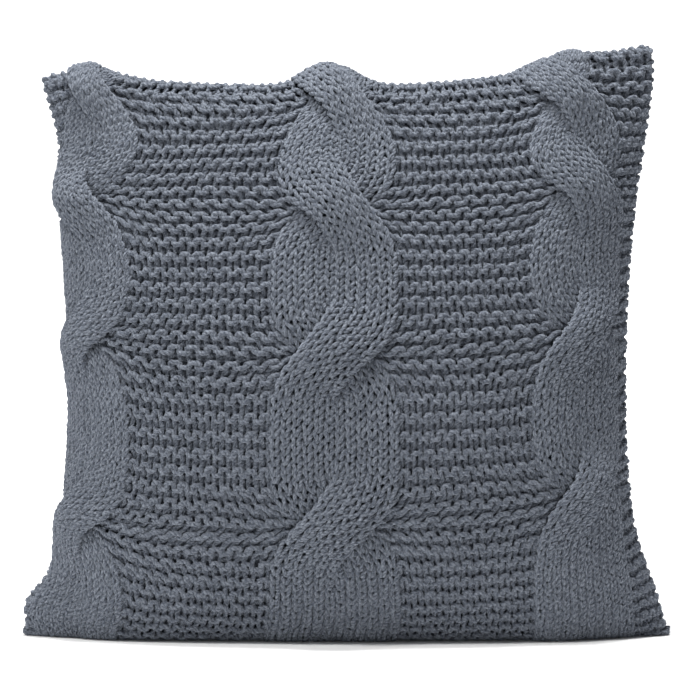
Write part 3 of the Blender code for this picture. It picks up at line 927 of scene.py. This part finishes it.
back_upper = panel_of(panel_grid(back_depth, 1, start=slot_line(1)))
back_lower = panel_of(panel_grid(back_depth, 1, end=slot_line(-1)))
for strip in range(BACK_STRIPS):
    edges = np.linspace(0, back_upper["width"], BACK_STRIPS + 1)[strip:strip + 2]
    rule = plain_rule(edges[0], edges[1], BACK_STITCHES)
    knit_piece(f"back_upper_{strip + 1}", "plain", rule, BACK_STITCHES, UPPER_ROWS, back_upper,
               as_knitted, UPPER_SEED + strip, ("cover_back_upper",))
all_stitches = BACK_STITCHES * BACK_STRIPS
knit_piece("back_lower", "plain", plain_rule(0, back_lower["width"], all_stitches), all_stitches,
           LOWER_ROWS, back_lower, as_knitted, LOWER_SEED, ("cover_back_lower",))

# %% [markdown]
# ## Behind the stitches
#
# Between the loops one looks into the shade of the cover. A thin dark sheet behind the yarn is
# painted shade: it stands in for that shade, and keeps the white insert from glinting through.
# A darker insert would do that too, but it would be the wrong colour when the cover comes off.
# Where a strand of a cable passes behind the other, this sheet and the insert give way.

# %% Room behind the crossings
DENT = 0.0038
DENT_REACH = 0.026
crossing_spots = []
for index, heights in enumerate(CROSSINGS):
    ups = np.array(heights)
    across = cable_centre(index, ups) / PANEL_WIDTH
    crossing_spots.extend(look_up(front_points, across, ups / PANEL_HEIGHT))
print("crossings:", len(crossing_spots))


def dent_at(points):
    """How far the inside of the front gives way behind the crossings."""
    dent = np.zeros(points.shape[:-1])
    for spot in crossing_spots:
        away = np.hypot(points[..., 0] - spot[0], points[..., 2] - spot[2])
        dent = np.maximum(dent, DENT * np.exp(-(away / DENT_REACH) ** 2))
    return dent


# %% A closed sheet
def shell_mesh(name, outer, inner):
    """A closed sheet between two grids of points."""
    across, upward, _ = outer.shape
    index = np.arange(across * upward).reshape(across, upward)
    top = np.stack((index[:-1, :-1], index[1:, :-1], index[1:, 1:], index[:-1, 1:]), axis=2)
    top = top.reshape(-1, 4)
    under = top[:, ::-1] + across * upward
    rim = np.concatenate((index[:-1, 0], index[-1, :-1], index[:0:-1, -1], index[0, :0:-1]))
    after = np.roll(rim, -1)
    wall = np.stack((after, rim, rim + across * upward, after + across * upward), axis=1)
    verts = np.concatenate((outer.reshape(-1, 3), inner.reshape(-1, 3)))
    mesh = bpy.data.meshes.new(name)
    mesh.from_pydata(verts.tolist(), [], np.concatenate((top, under, wall)).tolist())
    mesh.update()
    mesh.shade_smooth()
    return mesh


# %% The painted shade sheet
def shade_sheet_finish():
    finish, tree, shader, here = new_finish("painted_shade_sheet", 0.98)
    sheet_mottle = noise(tree, here, 700, 3.0)
    # painted shade: the sheet is dark so that the gaps between the loops read as shade
    colour = ramp(tree, sheet_mottle, [(0.3, (0.030, 0.035, 0.045)), (0.7, (0.070, 0.080, 0.100))])
    join_surface(tree, shader, colour, sheet_mottle, 0.6, 0.0006)
    return finish


painted_shade_sheet = shade_sheet_finish()
SHEET_OUTER, SHEET_INNER = 0.0020, 0.0029      # below the middle of the knitting
SHEET_STEP = 3                   # points of the panel's grid to one of the sheet's


def shade_sheet_piece(name, panel, stands_for, side):
    thinned = (slice(None, None, SHEET_STEP), slice(None, None, SHEET_STEP))
    points, normals = panel["points"][thinned], panel["normals"][thinned]
    dent = dent_at(points)[..., None] if side < 0 else 0.0
    outer, inner = (points - normals * (below + dent) for below in (SHEET_OUTER, SHEET_INNER))
    mesh = shell_mesh(name, outer, inner)
    if side > 0:
        mesh.flip_normals()
    add_piece(name, mesh, painted_shade_sheet, stands_for)


# painted shade: a dark sheet behind each panel's loops, in place of the shade between them
shade_sheet_piece("front_painted_shade_sheet", front, ("cover_front",), -1)
shade_sheet_piece("back_upper_painted_shade_sheet", back_upper, ("cover_back_upper",), 1)
shade_sheet_piece("back_lower_painted_shade_sheet", back_lower, ("cover_back_lower",), 1)

# %% [markdown]
# ## The seam
#
# The front's and back's edges are turned in and laced together with the same yarn, over and
# over. The lacing is a helix that follows the outline. A row of beads would give the same
# outline from afar, but close by the yarn has to be seen to wind round the edge.

# %% The outline
OUTLINE_STEPS = 400
TURN_SMOOTHING = 12


def outline(scale, patch, spacing):
    """Points once round the edge, evenly spaced, and the directions that face outwards."""
    steps = np.linspace(-1, 1, OUTLINE_STEPS)[:-1]
    flat = np.ones_like(steps)
    s = np.concatenate((steps, flat, -steps, -flat)) * scale
    t = np.concatenate((-flat, steps, flat, -steps)) * scale
    x, z = place(*patch(s, t))
    loop = np.roll(np.stack((x, 0 * x, z), axis=1), -OUTLINE_STEPS // 2, axis=0)
    loop = np.concatenate((loop, loop[:1]))
    travelled = travel(loop)
    places = np.linspace(0, travelled[-1], int(travelled[-1] / spacing))
    loop = points_at(loop, travelled, places)
    forward = unit(np.gradient(loop, axis=0))
    out = np.stack((forward[:, 2], 0 * places, -forward[:, 0]), axis=1)
    for _ in range(TURN_SMOOTHING):
        out[1:-1] = (out[:-2] + out[2:]) / 2
    return loop, unit(out), places


# %% Lacing round the edge
POINTS_PER_TURN = 10
LACING_WOBBLE = 0.35


def lacing(name, scale, patch, pitch, radius, reach, half_depth, seed):
    """One strand that winds round the edge, reach outwards and half_depth to each side."""
    loop, out, places = outline(scale, patch, pitch / POINTS_PER_TURN)
    rng = np.random.default_rng(seed)
    turn = 2 * math.pi * places / pitch + wobble(rng, 1, len(places), LACING_WOBBLE)[0]
    away = out * np.cos(turn)[:, None]
    sideways = np.stack((0 * turn, np.sin(turn), 0 * turn), axis=1)
    line = loop + reach * away + half_depth * sideways
    line[:, 2] = np.maximum(line[:, 2], radius)
    facing = unit(away + sideways)
    return tube_mesh(name, line[None], facing[None], np.full((1, len(places)), radius))


def same(s, t):
    return s, t


LACING_SCALE = 1 - 0.0060 / WAIST_SPAN
lacing_mesh = lacing("edge_lacing", LACING_SCALE, same, pitch=0.0064, radius=0.0015,
                     reach=0.0025, half_depth=0.0042, seed=50)
add_piece("edge_lacing", lacing_mesh, cover_yarn, ("cover_seam_yarn",))

# %% The turned-in edges
ROLL_SCALE = 1 - 0.0080 / WAIST_SPAN
ROLL_RADIUS = 0.0033
ROLL_SPACING = 0.004

loop, out, places = outline(ROLL_SCALE, same, ROLL_SPACING)
loop[:, 2] = np.maximum(loop[:, 2], ROLL_RADIUS)
roll = tube_mesh("turned_in_edges", loop[None], out[None], np.full((1, len(loop)), ROLL_RADIUS))
add_piece("turned_in_edges", roll, cover_yarn, ("cover_seam_yarn",))

# %% [markdown]
# ## The insert
#
# Inside is a separate cushion: a plain cotton case, overlocked round its edge, with polyester
# fibre in it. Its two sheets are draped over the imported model's shape, and they wrinkle
# where a flat sheet has to follow a bulge, most of all near the edges. A cloth simulation would
# find those wrinkles by itself, but it is slow, and the insert only shows without its cover.

# %% Draping
INSERT_SCALE = 1 - 2 * 0.012 / WAIST_SPAN
INSERT_CORNER_ROUND = 0.05
CASE_THICKNESS = 0.0008
FILL_GAP = 0.0010
INSERT_GRID = 101
WRINKLE = 0.0011
RAY_START = 0.2
SMOOTHING_ROUNDS = 8
SMOOTHING_STEP = 0.0005
DEEP = (0.002, 0.012)           # depths between which wrinkles and walls come in
FOLD_REACH = (0.35, 0.95)
FOLD_FADE = (0.97, 1.0)
FOLD_DRIFT = 3
SAG = 0.3


def insert_patch(s, t):
    scale = INSERT_SCALE * (1 - INSERT_CORNER_ROUND * (s * t) ** 4)
    return s * scale, t * scale


def folds(along, across, share, edge, wave, drift):
    """Gathers that run in from one pair of edges, and drift as they go."""
    swing = np.sin(wave * along + FOLD_DRIFT * np.sin(drift * across))
    return swing * smooth(np.abs(share), *FOLD_REACH) * (1 - smooth(edge, *FOLD_FADE))


def draped(name, side):
    """A fine grid over a node's outer face, smoothed, with wrinkles pressed into it."""
    source = nodes[name].data
    faces = [face.vertices[:] for face in source.polygons]
    tree = BVHTree.FromPolygons([vertex.co for vertex in source.vertices], faces)
    line = np.sin(np.linspace(-math.pi / 2, math.pi / 2, INSERT_GRID))
    s, t = np.meshgrid(line, line, indexing="ij")
    x, z = cad_place(*insert_patch(s, t))
    y = np.zeros_like(x)
    for i in range(INSERT_GRID):
        for j in range(INSERT_GRID):
            start = Vector((x[i, j], side * RAY_START, z[i, j]))
            hit = tree.ray_cast(start, Vector((0, -side, 0)))[0]
            y[i, j] = abs(hit.y) if hit is not None else FILL_GAP
    for _ in range(SMOOTHING_ROUNDS):
        middle = (y[:-2, 1:-1] + y[2:, 1:-1] + y[1:-1, :-2] + y[1:-1, 2:]) / 4
        y[1:-1, 1:-1] = np.minimum(middle, y[1:-1, 1:-1] + SMOOTHING_STEP)
    edge = np.maximum(np.abs(s), np.abs(t))
    gathers = folds(x, z, t, edge, wave=110, drift=60) + folds(z, x, s, edge, wave=105, drift=55)
    sag = SAG * (np.sin(31 * x + 17 * z) + np.sin(23 * z - 19 * x + 1.0))
    deep = smooth(y, *DEEP)
    y = y - deep * WRINKLE * (1.0 + 0.5 * gathers + 0.5 * sag)
    points = np.stack((x, side * y, z), axis=2)
    if side < 0:
        points[..., 1] += dent_at(points) * deep
    return points, deep


front_case, front_deep = draped("insert_case_front", -1)
back_case, back_deep = draped("insert_case_back", 1)
print("the case is", round(front_case[..., 2].max() * 1000), "mm high")


# %% Walls
EDGE_SHARE = 0.25               # of a wall's thickness, at the thin edge


def moved_in(points, deep, side, distance):
    """The grid moved in along its own normals, less at the thin edge."""
    normals = grid_normals(points, side)
    return points - normals * (distance * (EDGE_SHARE + (1 - EDGE_SHARE) * deep))[..., None]


# %% [markdown]
# ## Cotton and fibre
#
# The case is calico, a plain weave with the odd thicker thread, and the fibre is white and
# tufted. A scanned weave would need an image, so waves along X and Z draw the threads.

# %% Cotton and fibre finishes
def weave_finish(name, deep, pale, pitch, roughness, strength):
    """Plain weave of threads that run along X and Z."""
    finish, tree, shader, here = new_finish(name, roughness, sheen=0.1)
    parts = tree.nodes.new("ShaderNodeSeparateXYZ")
    tree.links.new(here, parts.inputs[0])
    uneven = math_node(tree, "MULTIPLY", noise(tree, here, 90), 1.5)
    waves = []
    for axis in ("X", "Z"):
        phase = math_node(tree, "MULTIPLY", parts.outputs[axis], math.pi / pitch)
        waves.append(math_node(tree, "SINE", math_node(tree, "ADD", phase, uneven)))
    threads = math_node(tree, "ABSOLUTE", math_node(tree, "MULTIPLY", waves[0], waves[1]))
    slub = noise(tree, here, 340, 3.0)
    shade = weighted(tree, threads, 0.6, slub, 0.5)
    colour = ramp(tree, shade, [(0.15, deep), (0.75, pale)])
    height = weighted(tree, threads, 1.0, slub, 0.5)
    join_surface(tree, shader, colour, height, strength, pitch / 2)
    return finish


def fibre_finish():
    finish, tree, shader, here = new_finish("polyester_fibre", 0.9, sheen=0.3)
    tufts, strands = noise(tree, here, 60, 4.0), noise(tree, here, 900, 4.0)
    shade = weighted(tree, tufts, 0.6, strands, 0.4)
    colour = ramp(tree, shade, [(0.3, (0.70, 0.70, 0.69)), (0.65, (0.90, 0.90, 0.89))])
    join_surface(tree, shader, colour, shade, 0.9, 0.002)
    return finish


cotton = weave_finish("woven_cotton", (0.60, 0.59, 0.56), (0.82, 0.81, 0.78), 0.0006, 0.88, 0.5)
cotton_thread = yarn_finish("cotton_thread", (0.62, 0.62, 0.60), (0.85, 0.85, 0.83))
polyester_fibre = fibre_finish()
print("finishes:", cotton.name, cotton_thread.name, polyester_fibre.name)

# %% Case
for name, case, deep, side in (("insert_case_front", front_case, front_deep, -1),
                               ("insert_case_back", back_case, back_deep, 1)):
    mesh = shell_mesh(name, case, moved_in(case, deep, side, CASE_THICKNESS))
    if side > 0:
        mesh.flip_normals()
    piece = add_piece("cotton_" + name, mesh, cotton, (name,))

# %% Filling
gap = CASE_THICKNESS + FILL_GAP
inside = slice(2, -2)           # the filling stops short of the case's edge
THIN_HALF = 0.0003
filling_front = moved_in(front_case, front_deep, -1, gap)[inside, inside]
filling_back = moved_in(back_case, back_deep, 1, gap)[inside, inside]
filling_front[..., 1] = np.minimum(filling_front[..., 1], -THIN_HALF)
filling_back[..., 1] = np.maximum(filling_back[..., 1], THIN_HALF)
filling = add_piece("fibre_filling", shell_mesh("fibre_filling", filling_front, filling_back),
                    polyester_fibre, ("insert_fill",))

# %% Overlocking
OVERLOCK_SCALE = 0.991
overlock = lacing("overlock_thread", OVERLOCK_SCALE, insert_patch, pitch=0.0032, radius=0.0004,
                  reach=0.0012, half_depth=0.0016, seed=60)
add_piece("overlock_thread", overlock, cotton_thread, ("insert_seam_thread",))

# %% [markdown]
# ## The zip
#
# A dress-maker's zip: woven tape, satin nylon teeth, and a slider with dull plating that handling
# has worn unevenly bright. Its pieces fit each other to a few tenths of a millimetre, so they
# aren't remodelled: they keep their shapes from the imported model, and get their materials here.

# %% Zip materials
def metal_finish():
    finish, tree, shader, here = new_finish("gunmetal_plating", 0.38, metallic=1.0)
    stretch = tree.nodes.new("ShaderNodeMapping")
    stretch.inputs["Scale"].default_value = (0.08, 1.0, 1.0)
    tree.links.new(here, stretch.inputs[0])
    grain = noise(tree, stretch.outputs[0], 4200, 3.0)
    wear = noise(tree, here, 380, 3.0)
    colour = ramp(tree, wear, [(0.35, (0.20, 0.205, 0.22)), (0.70, (0.42, 0.42, 0.43))])
    rough = math_node(tree, "ADD", math_node(tree, "MULTIPLY", grain, 0.3), 0.22)
    tree.links.new(rough, shader.inputs["Roughness"])
    join_surface(tree, shader, colour, grain, 0.25, 0.00005)
    return finish


def nylon_finish():
    finish, tree, shader, here = new_finish("moulded_nylon", 0.42)
    mottle, grit = noise(tree, here, 260, 3.0), noise(tree, here, 3000, 2.0)
    colour = ramp(tree, mottle, [(0.3, (0.036, 0.044, 0.060)), (0.7, (0.062, 0.074, 0.096))])
    rough = math_node(tree, "ADD", math_node(tree, "MULTIPLY", grit, 0.25), 0.3)
    tree.links.new(rough, shader.inputs["Roughness"])
    join_surface(tree, shader, colour, grit, 0.2, 0.00008)
    return finish


gunmetal, nylon = metal_finish(), nylon_finish()
tape = weave_finish("woven_tape", (0.030, 0.036, 0.048), (0.085, 0.100, 0.130), 0.0005, 0.85, 0.6)
finishes = {"zip_tape": tape, "zip_teeth": nylon, "zip_top": gunmetal, "zip_bottom": gunmetal,
            "zip_slider": gunmetal, "zip_pull": gunmetal}
for name, node in nodes.items():
    for start, finish in finishes.items():
        if name.startswith(start):
            node.data.materials.clear()
            node.data.materials.append(finish)
            print(name, "is", finish.name)
